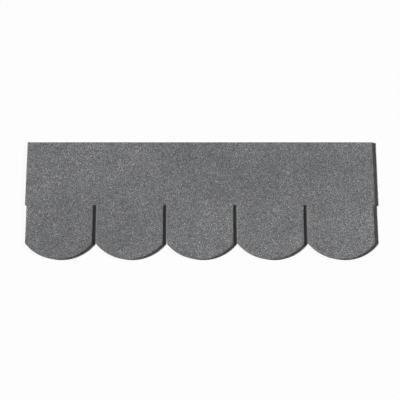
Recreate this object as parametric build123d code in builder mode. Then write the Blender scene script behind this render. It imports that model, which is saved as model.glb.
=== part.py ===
from build123d import *
import os

# Asphalt strip shingle with a row of rounded tabs, lying flat with its granule face up.
# X runs along the strip, Y runs up the roof slope with the tabs pointing down it, and Z
# leaves the roof. The origin is on the underside, at the middle of the strip's box.

# Row of tabs, in millimetres
tab_count = 5
tab_pitch = 200.0  # from the middle of one slot to the middle of the next
slot_width = 9.5  # gap between two tabs, with half of it cut off each end of the strip
tab_round_depth = 46.0  # drop of a tab's rounded edge, from its corners to its tip
tab_corner_radius = 8.0  # where the rounded edge turns up into the slot

# Courses on the roof
exposure = 150.0  # height of strip that the next course leaves showing
head_lap = 40.0  # how far a strip reaches under the second course above it
slot_cover = 5.0  # how far a slot's head hides under the tabs of the next course

# Sheet
sheet_thickness = 3.3  # over the granules
cut_edge_radius = 0.5  # granule-side edge, drawn down by the cutting roller
slot_head_round_share = 0.45  # radius of a slot head's corners, as a share of the slot's width

strip_length = tab_count * tab_pitch
strip_height = 2 * exposure + head_lap
tab_width = tab_pitch - slot_width
slot_length = exposure + slot_cover
head_height = strip_height - slot_length
tip_line = -strip_height / 2
corner_line = tip_line + tab_round_depth
slot_head_line = tip_line + slot_length

os.makedirs("parts", exist_ok=True)

# One tab: straight parallel sides under a slot head's line, closed by one arc at the tip
with BuildSketch() as tab:
    with BuildLine():
        Polyline(
            (-tab_width / 2, corner_line),
            (-tab_width / 2, slot_head_line),
            (tab_width / 2, slot_head_line),
            (tab_width / 2, corner_line),
        )
        ThreePointArc((tab_width / 2, corner_line), (0, tip_line), (-tab_width / 2, corner_line))
    make_face()
    tab_corners = tab.vertices().group_by(Axis.Y)[0]
    fillet(tab_corners, tab_corner_radius)

# The strip: the head that the next two courses cover, and the row of tabs below it
with BuildPart() as shingle_strip:
    with BuildSketch() as outline:
        with Locations((0, slot_head_line + head_height / 2)):
            Rectangle(strip_length, head_height)
        with GridLocations(tab_pitch, tab_pitch, tab_count, 1):
            add(tab.sketch)
        near = slot_width / 4
        slot_head_corners = outline.vertices().filter_by(
            lambda corner: abs(corner.Y - slot_head_line) < near
            and abs(corner.X) < strip_length / 2 - near
        )
        fillet(slot_head_corners, slot_head_round_share * slot_width)
    extrude(amount=sheet_thickness)
    granule_face = shingle_strip.faces().sort_by(Axis.Z)[-1]
    fillet(granule_face.edges(), cut_edge_radius)

shingle_strip.part.label = "shingle_strip"
export_step(shingle_strip.part, "parts/shingle_strip.step")
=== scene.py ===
import math

import bpy
import numpy as np
from bpy.props import FloatProperty, FloatVectorProperty, IntProperty, PointerProperty
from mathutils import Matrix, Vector
from mathutils.geometry import delaunay_2d_cdt


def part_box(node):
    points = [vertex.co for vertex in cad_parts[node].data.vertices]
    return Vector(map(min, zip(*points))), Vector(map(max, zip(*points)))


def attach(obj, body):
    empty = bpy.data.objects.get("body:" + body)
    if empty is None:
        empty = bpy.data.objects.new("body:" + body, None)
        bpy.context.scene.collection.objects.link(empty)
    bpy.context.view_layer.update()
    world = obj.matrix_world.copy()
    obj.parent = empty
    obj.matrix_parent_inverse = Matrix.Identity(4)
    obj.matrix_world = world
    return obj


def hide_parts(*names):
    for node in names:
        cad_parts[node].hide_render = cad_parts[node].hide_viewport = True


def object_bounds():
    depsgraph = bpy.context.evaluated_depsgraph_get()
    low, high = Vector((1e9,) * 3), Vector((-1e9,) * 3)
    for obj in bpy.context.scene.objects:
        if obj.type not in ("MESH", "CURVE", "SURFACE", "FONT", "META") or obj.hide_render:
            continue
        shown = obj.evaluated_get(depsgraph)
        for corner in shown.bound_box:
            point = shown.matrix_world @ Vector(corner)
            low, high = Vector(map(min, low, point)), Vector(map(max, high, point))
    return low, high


bl_info = {
    "name": "Asphalt strip shingle",
    "version": (1, 0, 0),
    "blender": (4, 5, 0),
    "location": "View3D > Sidebar > Shingle",
    "description": "Dresses a strip shingle: bitumen sheet, stone granules and a plain studio",
    "category": "Add Mesh",
}

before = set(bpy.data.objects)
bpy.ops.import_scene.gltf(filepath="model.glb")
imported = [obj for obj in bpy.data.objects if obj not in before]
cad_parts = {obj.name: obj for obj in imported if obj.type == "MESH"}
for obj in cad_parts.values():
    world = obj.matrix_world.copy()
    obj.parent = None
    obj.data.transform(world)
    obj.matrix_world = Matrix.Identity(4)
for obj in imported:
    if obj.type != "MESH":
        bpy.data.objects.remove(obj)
CAD_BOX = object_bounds()
STRIP_NODE = "shingle_strip"
STRIP_LOW, STRIP_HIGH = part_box(STRIP_NODE)
BODY = "root"
BAKE_MAP = "OFBake"  # the UV map that a texture of the granules is laid out on
DRAW = "granule_draw"  # one random number for each granule, which picks its stone
NOISE_MEAN = 0.5  # what Blender's noise comes to on the whole
INSIDE_ONLY = 1  # the mode in which an outline's filler makes triangles inside it alone
SAME_POINT = 1e-7  # points of an outline that are nearer than this would be one, in metres
MIX_FACTOR, MIX_FIRST, MIX_SECOND, MIX_RESULT = 0, 6, 7, 2  # sockets of a Mix node for colours


def length(name, description, default):
    """A size in metres."""
    return FloatProperty(
        name=name, description=description, default=default, min=0, unit="LENGTH", precision=5
    )


def share(name, description, default):
    """A plain ratio, as a rule from 0 to 1."""
    return FloatProperty(
        name=name, description=description, default=default, min=0, soft_max=1, subtype="FACTOR"
    )


def span(name, description, default):
    """The smallest and the largest of a range of ratios."""
    return FloatVectorProperty(name=name, description=description, default=default, size=2, min=0)


def angle(name, description, degrees):
    """An angle, stated in degrees and held in radians."""
    default = math.radians(degrees)
    return FloatProperty(
        name=name, description=description, default=default, subtype="ANGLE", unit="ROTATION"
    )


def colour(name, description, default):
    """A linear colour."""
    return FloatVectorProperty(
        name=name, description=description, default=default, subtype="COLOR", min=0, max=1
    )


class StripSizes(bpy.types.PropertyGroup):
    """Plan and section of the strip."""

    tab_count: IntProperty(name="Tabs", description="Rounded tabs along the strip", default=5, min=1)
    slot_width: length("Slot width", "Gap between two tabs", 0.0095)
    slot_length: length("Slot length", "From the tab tips up to the slot heads", 0.155)
    slot_head_radius: length("Slot head radius", "Rounding of a slot head's corners", 0.004275)
    tab_round_depth: length("Tab rounding", "Drop of a tab's edge from its corners to its tip", 0.046)
    tab_corner_radius: length("Tab corner radius", "Where the rounded edge turns up into a slot", 0.008)
    cut_edge_radius: length("Cut edge radius", "Upper edge, drawn down by the cutting roller", 0.0005)
    sharp_angle: angle("Sharp angle", "Edges of the sheet that turn more than this stay sharp", 50.0)
    mesh_step: length("Mesh step", "Spacing of the sheet's mesh", 0.006)
    rim_step: length("Rim step", "Spacing of points along the cut edges", 0.003)


class GranuleSizes(bpy.types.PropertyGroup):
    """The stones pressed into the sheet's upper face."""

    spacing: length("Spacing", "Mean distance between granules", 0.0019)
    relief: length("Relief", "Height of the granules over the bitumen that holds them", 0.00035)
    sunk: length("Sunk depth", "How deep a granule's foot goes into the bitumen", 0.0001)
    inset: length("Edge inset", "How far a granule's middle stays from the cut edges", 0.0006)
    jitter: share("Jitter", "How far a granule strays from an even grid, in spacings", 0.32)
    radius: span("Radius", "Smallest and largest granule, in spacings", (0.46, 0.70))
    foot_reach: span("Foot reach", "From its middle to the corners of its foot, in radii", (0.8, 1.2))
    ridge_reach: span("Ridge reach", "From its middle to the ends of its ridge, in radii", (0.1, 0.65))
    ridge_height: span("Ridge height", "Height of the ends of its ridge, in reliefs", (0.55, 1.0))
    foot_skew: angle("Foot skew", "Most that a corner of its foot is turned from a square's", 23.0)
    ridge_skew: angle("Ridge skew", "Most that an end of its ridge is turned from a diagonal", 29.0)
    sheared: share("Sheared size", "Size left of a granule by each shear that keeps it on the sheet", 0.8)
    seed: IntProperty(name="Seed", description="Start of the random draws", default=7)


class Finishes(bpy.types.PropertyGroup):
    """Colours of the stones and the bitumen."""

    charcoal: colour("Charcoal stone", "Darkest granules of the blend", (0.048, 0.049, 0.053))
    slate: colour("Slate stone", "Dark granules of the blend", (0.116, 0.119, 0.127))
    grey: colour("Grey stone", "Middle granules of the blend", (0.217, 0.220, 0.226))
    ash: colour("Ash stone", "Light granules of the blend", (0.360, 0.363, 0.366))
    pale: colour("Pale stone", "Lightest granules of the blend", (0.550, 0.549, 0.543))
    bitumen: colour("Bitumen", "The black binder on the cut edges", (0.018, 0.017, 0.017))
    felt: colour("Felt", "Ends of the carrier's fibres on the cut edges", (0.062, 0.060, 0.057))
    bed: colour("Bed", "Binder between the granules, grey with stone dust", (0.080, 0.081, 0.083))
    sand: colour("Back sand", "Fine sand on the underside", (0.150, 0.146, 0.138))
    drift: share("Drift", "How far the tone of the blend drifts from tab to tab", 0.80)
    patches: share("Patches", "How far it changes within a tab", 0.64)
    mottling: share("Mottling", "How far it changes between clusters of granules", 0.60)


class StudioSettings(bpy.types.PropertyGroup):
    """Floor, light and camera."""

    floor: colour("Floor", "Plain pale floor", (0.980, 0.980, 0.980))
    floor_size: length("Floor size", "Side of the square floor", 30.0)
    key_share: share("Key light", "Share of a level face's light that comes low from the left", 0.938)
    counter_share: share("Counter light", "Share of it that comes low from the right", 0.05)
    fill_share: share("Fill light", "Share of it that comes from all round", 0.012)
    lamp_elevation: angle("Lamp elevation", "Height of the key and counter lights over the floor", 15.2)
    lamp_slant: angle("Lamp slant", "How far they are turned from the strip's length, up the slope", 11.0)
    lamp_softness: angle("Lamp softness", "Breadth of each lamp as the strip sees it", 4.0)
    view_elevation: angle("View elevation", "Height of the camera over the floor", 80.0)
    view_distance: length("View distance", "From the camera to the middle of the strip", 1.96)
    lens: FloatProperty(
        name="Lens", description="Focal length in millimetres", default=61.7, min=1, unit="CAMERA"
    )


class Wire:
    """The value of a socket. Expressions on wires and numbers add Math nodes."""

    def __init__(self, nodes, socket):
        self.nodes = nodes
        self.socket = socket

    def output(self, name):
        """Another output of the same node."""
        return Wire(self.nodes, self.socket.node.outputs[name])

    def maths(self, operation, first, second):
        """A Math node on two values."""
        return self.nodes.node("Math", {"operation": operation}, {0: first, 1: second})

    def __add__(self, other):
        return self.maths("ADD", self, other)

    def __radd__(self, other):
        return self.maths("ADD", other, self)

    def __sub__(self, other):
        return self.maths("SUBTRACT", self, other)

    def __rsub__(self, other):
        return self.maths("SUBTRACT", other, self)

    def __mul__(self, other):
        return self.maths("MULTIPLY", self, other)

    def __rmul__(self, other):
        return self.maths("MULTIPLY", other, self)

    def __gt__(self, other):
        return self.maths("GREATER_THAN", self, other)

    def __lt__(self, other):
        # Python comes here for a number > wire too.
        return self.maths("LESS_THAN", self, other)


class Nodes:
    """A node tree that is being written."""

    def __init__(self, tree):
        self.tree = tree
        self.tree.nodes.clear()

    def node(self, kind, settings=None, sockets=None, output=0):
        """Adds a node, sets it up, joins or fills its sockets and returns one of its outputs."""
        made = self.tree.nodes.new("ShaderNode" + kind)
        for name, value in (settings or {}).items():
            if name == "stops":
                self.set_stops(made.color_ramp.elements, value)
            else:
                setattr(made, name, value)
        for name, value in (sockets or {}).items():
            if isinstance(value, Wire):
                self.tree.links.new(value.socket, made.inputs[name])
            else:
                made.inputs[name].default_value = value
        return Wire(self, made.outputs[output]) if len(made.outputs) else None

    @staticmethod
    def set_stops(elements, stops):
        """Gives a colour ramp its stops, each a position and a colour."""
        while len(elements) < len(stops):
            elements.new(1.0)
        for element, (position, stop_colour) in zip(elements, stops):
            element.position = position
            element.color = (*stop_colour, 1.0)

    def mix(self, factor, first, second, blend="MIX"):
        """Two colours mixed by a factor."""
        settings = {"data_type": "RGBA", "blend_type": blend}
        first, second = (c if isinstance(c, Wire) else (*c, 1.0) for c in (first, second))
        sockets = {MIX_FACTOR: factor, MIX_FIRST: first, MIX_SECOND: second}
        return self.node("Mix", settings, sockets, MIX_RESULT)

    def noise(self, place, cells, detail=2.0, stretch=(1.0, 1.0, 1.0)):
        """Soft noise over the surface, with that many cells in a metre."""
        mapped = self.node("Mapping", None, {"Vector": place, "Scale": stretch})
        return self.node("TexNoise", None, {"Vector": mapped, "Scale": cells, "Detail": detail})

    def grains(self, place, cells):
        """Distance from the middle of the nearest grain of a fine sand, with that many in a metre."""
        return self.node("TexVoronoi", None, {"Vector": place, "Scale": cells})

    def bump(self, height, distance):
        """Normal of a surface with that relief, the distance being its height in metres."""
        return self.node("Bump", None, {"Height": height, "Distance": distance})


def new_material(name, write):
    """A material whose Principled sockets are given by write(nodes, place in the strip's frame)."""
    material = bpy.data.materials.new(name)
    material.use_nodes = True
    nodes = Nodes(material.node_tree)
    place = nodes.node("TexCoord", output="Object")
    shader = nodes.node("BsdfPrincipled", None, write(nodes, place))
    nodes.node("OutputMaterial", None, {"Surface": shader})
    return material


def between(low, high, factor):
    """A value that goes from low to high as the factor goes from 0 to 1."""
    return low + (high - low) * factor


def blend_tone(nodes, place, finishes):
    """Tone of the blend over the strip, about 1, as the drop of stones changes on the line."""
    drift = nodes.noise(place, cells=2.6, detail=1.0) - NOISE_MEAN
    patches = nodes.noise(place, cells=14.0) - NOISE_MEAN
    mottling = nodes.noise(place, cells=75.0) - NOISE_MEAN
    return 1.0 + drift * finishes.drift + patches * finishes.patches + mottling * finishes.mottling


def granule_stone(finishes):
    """Crushed stone in a blend of greys, dull and dry."""
    # A granule's draw, from 0 to 1, takes its colour from between the two stones next to it here.
    stops = [
        (0.00, finishes.charcoal),
        (0.18, finishes.slate),
        (0.52, finishes.grey),
        (0.86, finishes.ash),
        (1.00, finishes.pale),
    ]

    def write(nodes, place):
        draw = nodes.node("Attribute", {"attribute_name": DRAW}, output="Fac")
        blend = nodes.node("ValToRGB", {"stops": stops}, {"Fac": draw})
        toned = nodes.mix(1.0, blend, blend_tone(nodes, place, finishes), "MULTIPLY")
        roughness = between(0.95, 0.75, draw)
        return {"Base Color": toned, "Roughness": roughness, "Specular IOR Level": 0.2}

    return new_material("granule_stone", write)


def bitumen_bed(finishes):
    """Bitumen between the granules, with stone dust and fines stuck to it."""
    dust_cover = 0.6  # how much of the bed's colour the thickest dust hides

    def write(nodes, place):
        fines = nodes.grains(place, cells=1500.0)
        dust = nodes.noise(place, cells=420.0, detail=3.0)
        dusty = nodes.mix(dust * dust_cover, finishes.bed, finishes.slate)
        normal = nodes.bump(fines + dust, distance=0.0002)
        return {"Base Color": dusty, "Roughness": between(0.7, 0.95, dust), "Normal": normal}

    return new_material("bitumen_bed", write)


def cut_edge(finishes):
    """Black bitumen sheared by the cutting roller, with grey ends of felt fibre in it."""
    fibre_level = 0.56  # noise over this is the end of a fibre
    fibre_cover = 0.7  # how much of the felt's colour comes through the bitumen there

    def write(nodes, place):
        fibre = nodes.noise(place, cells=900.0, detail=3.0, stretch=(1.0, 1.0, 2.5))
        smear = nodes.noise(place, cells=160.0)
        sheared = nodes.mix((fibre > fibre_level) * fibre_cover, finishes.bitumen, finishes.felt)
        normal = nodes.bump(fibre + smear, distance=0.0003)
        return {"Base Color": sheared, "Roughness": between(0.45, 0.85, smear), "Normal": normal}

    return new_material("cut_edge", write)


def sanded_back(finishes):
    """Underside of the sheet: bitumen dusted with fine sand so that strips don't stick in the pack."""

    def write(nodes, place):
        sand = 1.0 - nodes.grains(place, cells=1100.0)
        streak = nodes.noise(place, cells=30.0, detail=3.0, stretch=(0.15, 1.0, 1.0))
        cover = sand * between(0.35, 0.85, streak)
        sanded = nodes.mix(cover, finishes.bitumen, finishes.sand)
        normal = nodes.bump(sand, distance=0.00025)
        return {"Base Color": sanded, "Roughness": between(0.75, 0.95, sand), "Normal": normal}

    return new_material("sanded_back", write)


def pale_floor(settings):
    """Matte white studio paper."""

    def write(nodes, place):
        return {"Base Color": (*settings.floor, 1.0), "Roughness": 1.0, "Specular IOR Level": 0.0}

    return new_material("pale_floor", write)


class Plan:
    """Outline of the strip as it lies: X along it, tabs pointing to -Y."""

    def __init__(self, sizes):
        self.left, self.right = STRIP_LOW.x, STRIP_HIGH.x
        self.tip, self.top = STRIP_LOW.y, STRIP_HIGH.y
        self.tab_count = sizes.tab_count
        self.pitch = (self.right - self.left) / sizes.tab_count
        self.half_tab = (self.pitch - sizes.slot_width) / 2
        self.slot_head = self.tip + sizes.slot_length
        self.head_radius = sizes.slot_head_radius
        self.head_y = self.slot_head - self.head_radius
        depth = sizes.tab_round_depth
        self.arc_radius = (self.half_tab**2 + depth**2) / (2 * depth)
        self.arc_y = self.tip + self.arc_radius
        self.corner_radius = sizes.tab_corner_radius
        self.corner_x = self.half_tab - self.corner_radius
        drop = math.sqrt((self.arc_radius - self.corner_radius) ** 2 - self.corner_x**2)
        self.corner_y = self.arc_y - drop
        self.turn = math.atan2(drop, self.corner_x)  # from level to where corner and arc meet

    def lower_edge(self, x, inset):
        """Lowest point of the sheet at each x, kept that far inside the cut edge."""
        across = np.abs((x - self.left) % self.pitch - self.pitch / 2)
        arc_radius, corner_radius = self.arc_radius - inset, self.corner_radius - inset
        on_arc = self.arc_y - np.sqrt(np.maximum(arc_radius**2 - across**2, 0))
        beside = np.maximum(across - self.corner_x, 0)
        on_corner = self.corner_y - np.sqrt(np.maximum(corner_radius**2 - beside**2, 0))
        on_tab = np.where(across < arc_radius * math.cos(self.turn), on_arc, on_corner)
        return np.where(across < self.half_tab - inset, on_tab, self.slot_head + inset)

    def holds(self, points, inset):
        """Which points lie on the sheet, that far inside its edges."""
        x, y = points.T
        ends = (x > self.left + inset) & (x < self.right - inset)
        return ends & (y > self.lower_edge(x, inset)) & (y < self.top - inset)

    def loop(self, step):
        """Points round the outline, counter-clockwise from the upper left corner."""
        points = line_points((self.left, self.top), (self.left, self.slot_head), step)
        for index in range(self.tab_count):
            points += self.tab_points(self.left + (index + 0.5) * self.pitch, step)
        points += line_points((self.right, self.slot_head), (self.right, self.top), step)
        points += line_points((self.right, self.top), (self.left, self.top), step)
        return np.array(points)

    def tab_points(self, middle, step):
        """Points down the left side of a tab, round its tip and up its right side, slot heads included."""
        left, right = middle - self.half_tab, middle + self.half_tab
        head_left, head_right = left - self.head_radius, right + self.head_radius
        corner_left, corner_right = left + self.corner_radius, right - self.corner_radius
        north, west, east = math.pi / 2, math.pi, math.pi * 2
        low_left, low_right = west + self.turn, east - self.turn
        points = arc_points((head_left, self.head_y), self.head_radius, north, 0, step)
        points += line_points((left, self.head_y), (left, self.corner_y), step)
        points += arc_points((corner_left, self.corner_y), self.corner_radius, west, low_left, step)
        points += arc_points((middle, self.arc_y), self.arc_radius, low_left, low_right, step)
        points += arc_points((corner_right, self.corner_y), self.corner_radius, low_right, east, step)
        points += line_points((right, self.corner_y), (right, self.head_y), step)
        points += arc_points((head_right, self.head_y), self.head_radius, west, north, step)
        return points + [(head_right, self.slot_head)]


def line_points(start, end, step):
    """Points from start up to, but without, end."""
    count = max(1, round(math.dist(start, end) / step))
    return [tuple(np.array(start) + (np.array(end) - start) * k / count) for k in range(count)]


def arc_points(centre, radius, start, end, step):
    """Points along an arc up to, but without, its end, at least four of them."""
    count = max(4, round(abs(end - start) * radius / step))
    angles = [start + (end - start) * k / count for k in range(count)]
    return [(centre[0] + radius * math.cos(a), centre[1] + radius * math.sin(a)) for a in angles]


def even_grid(plan, spacing):
    """A close-packed grid of points over the strip's box."""
    row_step = spacing * math.sqrt(3) / 2
    rows = np.arange(plan.tip, plan.top + row_step, row_step)
    columns = np.arange(plan.left, plan.right + spacing, spacing)
    x, y = np.meshgrid(columns, rows)
    x[1::2] += spacing / 2
    return np.stack([x.ravel(), y.ravel()], 1)


def place_piece(name, mesh, materials):
    """Puts a finished mesh in the scene, on the strip's body."""
    piece = bpy.data.objects.new(name, mesh)
    bpy.context.scene.collection.objects.link(piece)
    for material in materials:
        mesh.materials.append(material)
    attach(piece, BODY)
    return piece


def bed_height(granules):
    """Height of the bitumen between the granules."""
    return STRIP_HIGH.z - STRIP_LOW.z - granules.relief


class SHINGLE_OT_sheet(bpy.types.Operator):
    """Build the cut bitumen sheet that carries the granules"""

    bl_idname = "shingle.sheet"
    bl_label = "Bitumen sheet"

    def execute(self, context):
        scene = context.scene
        sizes, finishes = scene.strip_sizes, scene.shingle_finishes
        plan = Plan(sizes)
        rim = plan.loop(sizes.rim_step)
        grid = even_grid(plan, sizes.mesh_step)
        inside = grid[plan.holds(grid, sizes.mesh_step / 2)]
        points, triangles = self.fill(rim, inside)
        mesh = self.solid(points, triangles, len(rim), bed_height(scene.granule_sizes), sizes)
        materials = [bitumen_bed(finishes), sanded_back(finishes), cut_edge(finishes)]
        sheet = place_piece("bitumen_sheet", mesh, materials)
        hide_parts(STRIP_NODE)
        return {"FINISHED"}

    @staticmethod
    def fill(rim, inside):
        """Triangles that fill the outline, on the rim's points and those inside it."""
        points = np.concatenate([rim, inside])
        vectors, outline = [Vector(point) for point in points], list(range(len(rim)))
        filled = delaunay_2d_cdt(vectors, [], [outline], INSIDE_ONLY, SAME_POINT)
        corners, faces, sources = filled[0], filled[2], filled[3]
        if len(corners) != len(points):
            raise RuntimeError("the outline crosses itself: check the slot and corner sizes")
        return points, [[sources[corner][0] for corner in face] for face in faces]

    @staticmethod
    def solid(points, triangles, rim_count, height, sizes):
        """The closed sheet: upper and lower face, and a cut edge that rounds over at the top."""
        rim = points[:rim_count]
        along = np.roll(rim, -1, 0) - np.roll(rim, 1, 0)
        inward = np.stack([-along[:, 1], along[:, 0]], 1)
        inward /= np.linalg.norm(inward, axis=1, keepdims=True)
        edge = sizes.cut_edge_radius
        halfway = edge * (1 - math.sqrt(0.5))  # inset and drop at the middle of the rounding
        upper = points.copy()
        upper[:rim_count] += inward * edge
        layers = [(points, 0), (upper, height), (rim, height / 2), (rim, height - edge)]
        layers.append((rim + inward * halfway, height - halfway))
        corners = np.concatenate([np.column_stack([flat, np.full(len(flat), z)]) for flat, z in layers])
        lower_rim, upper_rim, *rings = np.cumsum([0] + [len(flat) for flat, z in layers[:-1]]).tolist()
        climb = [lower_rim, *rings, upper_rim]  # first corner of each ring up the cut edge
        above = [[corner + upper_rim for corner in face] for face in triangles]
        below = [face[::-1] for face in triangles]
        around = []
        for low, high in zip(climb, climb[1:]):
            for here in range(rim_count):
                after = (here + 1) % rim_count
                around.append([low + here, low + after, high + after, high + here])
        mesh = bpy.data.meshes.new("bitumen_sheet")
        mesh.from_pydata(corners.tolist(), [], above + below + around)
        bed, back, cut = range(3)  # in the order of the sheet's materials
        finish = [bed] * len(above) + [back] * len(below) + [cut] * len(around)
        mesh.polygons.foreach_set("material_index", finish)
        mesh.validate()
        mesh.shade_smooth()
        mesh.set_sharp_from_angle(angle=sizes.sharp_angle)
        return mesh


class SHINGLE_OT_granules(bpy.types.Operator):
    """Press a field of stone granules into the sheet, one piece for each tab's width"""

    bl_idname = "shingle.granules"
    bl_label = "Granules"

    # Corners 0 to 3 of a stone are its foot and run round it, and 4 and 5 are the ends of its ridge.
    sides = [(0, 1, 5), (0, 5, 4), (1, 2, 5), (2, 4, 5), (2, 3, 4), (3, 0, 4)]
    underside = [(0, 2, 1), (0, 3, 2)]
    facets = np.array(sides + underside)
    # From the way that the stone heads round to each corner, before the skew: a square and a diagonal.
    foot_turns = np.array([0.0, 0.5, 1.0, 1.5]) * math.pi
    ridge_turns = np.array([-0.25, 0.75]) * math.pi
    map_share = 0.66  # how much of its square on the texture map a stone takes up

    def execute(self, context):
        sizes, plan = context.scene.granule_sizes, Plan(context.scene.strip_sizes)
        rng = np.random.default_rng(sizes.seed)
        grid = even_grid(plan, sizes.spacing)
        grid += sizes.spacing * sizes.jitter * rng.uniform(-1, 1, grid.shape)
        middles = grid[plan.holds(grid, sizes.inset)]
        stone = granule_stone(context.scene.shingle_finishes)
        tab = ((middles[:, 0] - plan.left) / plan.pitch).astype(int)
        for index in range(plan.tab_count):
            name = f"granules_tab_{index + 1}"
            on_tab = tab == index
            mesh = self.field(name, plan, middles[on_tab], sizes, rng)
            place_piece(name, mesh, [stone])
        return {"FINISHED"}

    def field(self, name, plan, middles, sizes, rng):
        """One mesh of many stones, each a chip with a skewed foot and a short ridge."""
        count, feet, ends = len(middles), len(self.foot_turns), len(self.ridge_turns)
        radius = sizes.spacing * rng.uniform(*sizes.radius, count)
        heading = rng.uniform(0, 2 * math.pi, (count, 1))
        foot_way = heading + self.foot_turns + sizes.foot_skew * rng.uniform(-1, 1, (count, feet))
        ridge_way = heading + self.ridge_turns + sizes.ridge_skew * rng.uniform(-1, 1, (count, ends))
        foot_reach = rng.uniform(*sizes.foot_reach, (count, feet))
        ridge_reach = rng.uniform(*sizes.ridge_reach, (count, ends))
        way = np.concatenate([foot_way, ridge_way], 1)
        reach = np.concatenate([foot_reach, ridge_reach], 1)
        spread = np.stack([reach * np.cos(way), reach * np.sin(way)], 2)
        self.shear(plan, middles, radius, spread[:, :feet], sizes)
        bed = bed_height(sizes)
        corners = np.empty((count, feet + ends, 3))
        corners[:, :, :2] = middles[:, None] + radius[:, None, None] * spread
        corners[:, :feet, 2] = bed - sizes.sunk
        corners[:, feet:, 2] = bed + sizes.relief * rng.uniform(*sizes.ridge_height, (count, ends))
        places = self.map_places(spread / sizes.foot_reach[1])
        return self.mesh(name, corners, places, rng.uniform(0, 1, count))

    @staticmethod
    def shear(plan, middles, radius, foot, sizes):
        """Makes the stones at the cut edges smaller until their feet are on the sheet."""
        over = np.arange(len(middles))
        while len(over):
            corners = middles[over, None] + radius[over, None, None] * foot[over]
            held = plan.holds(corners.reshape(-1, 2), 0).reshape(corners.shape[:2])
            over = over[~held.all(1)]
            radius[over] *= sizes.sheared

    def map_places(self, spread):
        """Texture places: every stone lies in the middle of a small square of its own."""
        count = len(spread)
        across = math.ceil(math.sqrt(count))
        index = np.arange(count)
        square = np.stack([index % across, index // across], 1)[:, None] + 0.5
        return (square + spread * self.map_share / 2) / across

    def mesh(self, name, corners, places, draw):
        """The stones as one mesh, each with its own square of the map and its own draw."""
        count, corner_count = corners.shape[:2]
        facet_count, facet_corners = self.facets.shape
        loops = (np.arange(count)[:, None, None] * corner_count + self.facets).ravel()
        starts = np.arange(0, len(loops), facet_corners, dtype=np.int32)
        mesh = bpy.data.meshes.new(name)
        mesh.vertices.add(count * corner_count)
        mesh.vertices.foreach_set("co", corners.astype(np.float32).ravel())
        mesh.loops.add(len(loops))
        mesh.loops.foreach_set("vertex_index", loops.astype(np.int32))
        mesh.polygons.add(len(starts))
        mesh.polygons.foreach_set("loop_start", starts)
        mesh.update(calc_edges=True)
        mesh.shade_flat()
        layer = mesh.uv_layers.new(name=BAKE_MAP)
        layer.uv.foreach_set("vector", places.reshape(-1, 2)[loops].astype(np.float32).ravel())
        drawn = mesh.attributes.new(DRAW, "FLOAT", "FACE")
        drawn.data.foreach_set("value", np.repeat(draw, facet_count).astype(np.float32))
        return mesh


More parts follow.
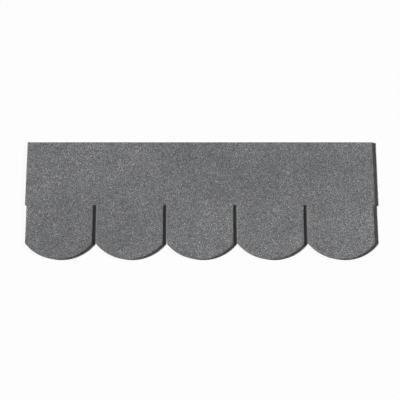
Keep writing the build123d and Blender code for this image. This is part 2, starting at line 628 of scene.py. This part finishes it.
class SHINGLE_OT_studio(bpy.types.Operator):
    """Set up the floor, the light and the camera that looks down on the strip"""

    bl_idname = "shingle.studio"
    bl_label = "Studio"

    def execute(self, context):
        settings = context.scene.studio_settings
        self.lay_floor(context.scene, settings)
        self.hang_lamps(context.scene, settings)
        self.surround(context.scene, settings)
        self.aim_camera(context.scene, settings)
        context.scene.view_settings.view_transform = "Standard"
        return {"FINISHED"}

    @staticmethod
    def lay_floor(scene, settings):
        """A wide plain floor under the strip."""
        half = settings.floor_size / 2
        corners = [(-half, -half, 0), (half, -half, 0), (half, half, 0), (-half, half, 0)]
        mesh = bpy.data.meshes.new("floor")
        mesh.from_pydata(corners, [], [(0, 1, 2, 3)])
        mesh.materials.append(pale_floor(settings))
        floor = bpy.data.objects.new("floor", mesh)
        scene.collection.objects.link(floor)

    @staticmethod
    def hang_lamps(scene, settings):
        """Two low lamps that rake the granules, one from the left and one from the right."""
        lamps = (("key", 1, settings.key_share), ("counter", -1, settings.counter_share))
        level, drop = math.cos(settings.lamp_elevation), math.sin(settings.lamp_elevation)
        along, down = level * math.cos(settings.lamp_slant), level * math.sin(settings.lamp_slant)
        for name, side, level_share in lamps:
            light = bpy.data.lights.new(name, "SUN")
            light.angle = settings.lamp_softness
            light.energy = math.pi * level_share / drop  # at pi, a white face square to it is white
            lamp = bpy.data.objects.new(name, light)
            lamp.rotation_euler = Vector((side * along, -down, -drop)).to_track_quat("-Z", "Y").to_euler()
            scene.collection.objects.link(lamp)

    @staticmethod
    def surround(scene, settings):
        """A faint even dome, which the camera and mirrors see as white."""
        world = bpy.data.worlds.new("studio")
        world.use_nodes = True
        scene.world = world
        nodes = Nodes(world.node_tree)
        ray = nodes.node("LightPath", output="Is Camera Ray")
        seen = ray + ray.output("Is Glossy Ray") + ray.output("Is Transmission Ray")
        white = (1.0, 1.0, 1.0, 1.0)
        dome = nodes.node("Background", None, {"Color": white, "Strength": settings.fill_share})
        backdrop = nodes.node("Background", None, {"Color": white, "Strength": 1.0})
        either = nodes.node("MixShader", None, {0: seen, 1: dome, 2: backdrop})
        nodes.node("OutputWorld", None, {"Surface": either})

    @staticmethod
    def aim_camera(scene, settings):
        """A camera in front of the tabs that looks down at the middle of the strip."""
        camera = bpy.data.objects.new("camera", bpy.data.cameras.new("camera"))
        camera.data.lens = settings.lens
        middle = (CAD_BOX[0] + CAD_BOX[1]) / 2
        back = Vector((0, -math.cos(settings.view_elevation), math.sin(settings.view_elevation)))
        camera.location = middle + back * settings.view_distance
        camera.rotation_euler = (-back).to_track_quat("-Z", "Y").to_euler()
        scene.collection.objects.link(camera)
        scene.camera = camera


class SHINGLE_PT_sidebar(bpy.types.Panel):
    """Lists the steps that dress the strip, and what they are set to"""

    bl_label = "Strip shingle"
    bl_idname = "SHINGLE_PT_sidebar"
    bl_space_type = "VIEW_3D"
    bl_region_type = "UI"
    bl_category = "Shingle"

    def draw(self, context):
        """A button for each step, and a box for each group of settings."""
        for step in STEPS:
            self.layout.operator(step.bl_idname)
        for name, group in GROUPS.items():
            settings = getattr(context.scene, name)
            box = self.layout.box()
            for setting in group.__annotations__:
                box.prop(settings, setting)


GROUPS = {
    "strip_sizes": StripSizes,
    "granule_sizes": GranuleSizes,
    "shingle_finishes": Finishes,
    "studio_settings": StudioSettings,
}
STEPS = (SHINGLE_OT_sheet, SHINGLE_OT_granules, SHINGLE_OT_studio)
CLASSES = (*GROUPS.values(), *STEPS, SHINGLE_PT_sidebar)


def register():
    """Adds the classes, and the settings to the scene."""
    for each in CLASSES:
        bpy.utils.register_class(each)
    for name, group in GROUPS.items():
        setattr(bpy.types.Scene, name, PointerProperty(type=group))


def unregister():
    """Takes the settings and the classes away."""
    for name in GROUPS:
        delattr(bpy.types.Scene, name)
    for each in reversed(CLASSES):
        bpy.utils.unregister_class(each)


def main():
    """Dresses the strip."""
    register()
    bpy.ops.shingle.sheet()
    bpy.ops.shingle.granules()
    bpy.ops.shingle.studio()


if __name__ == "__main__":
    main()
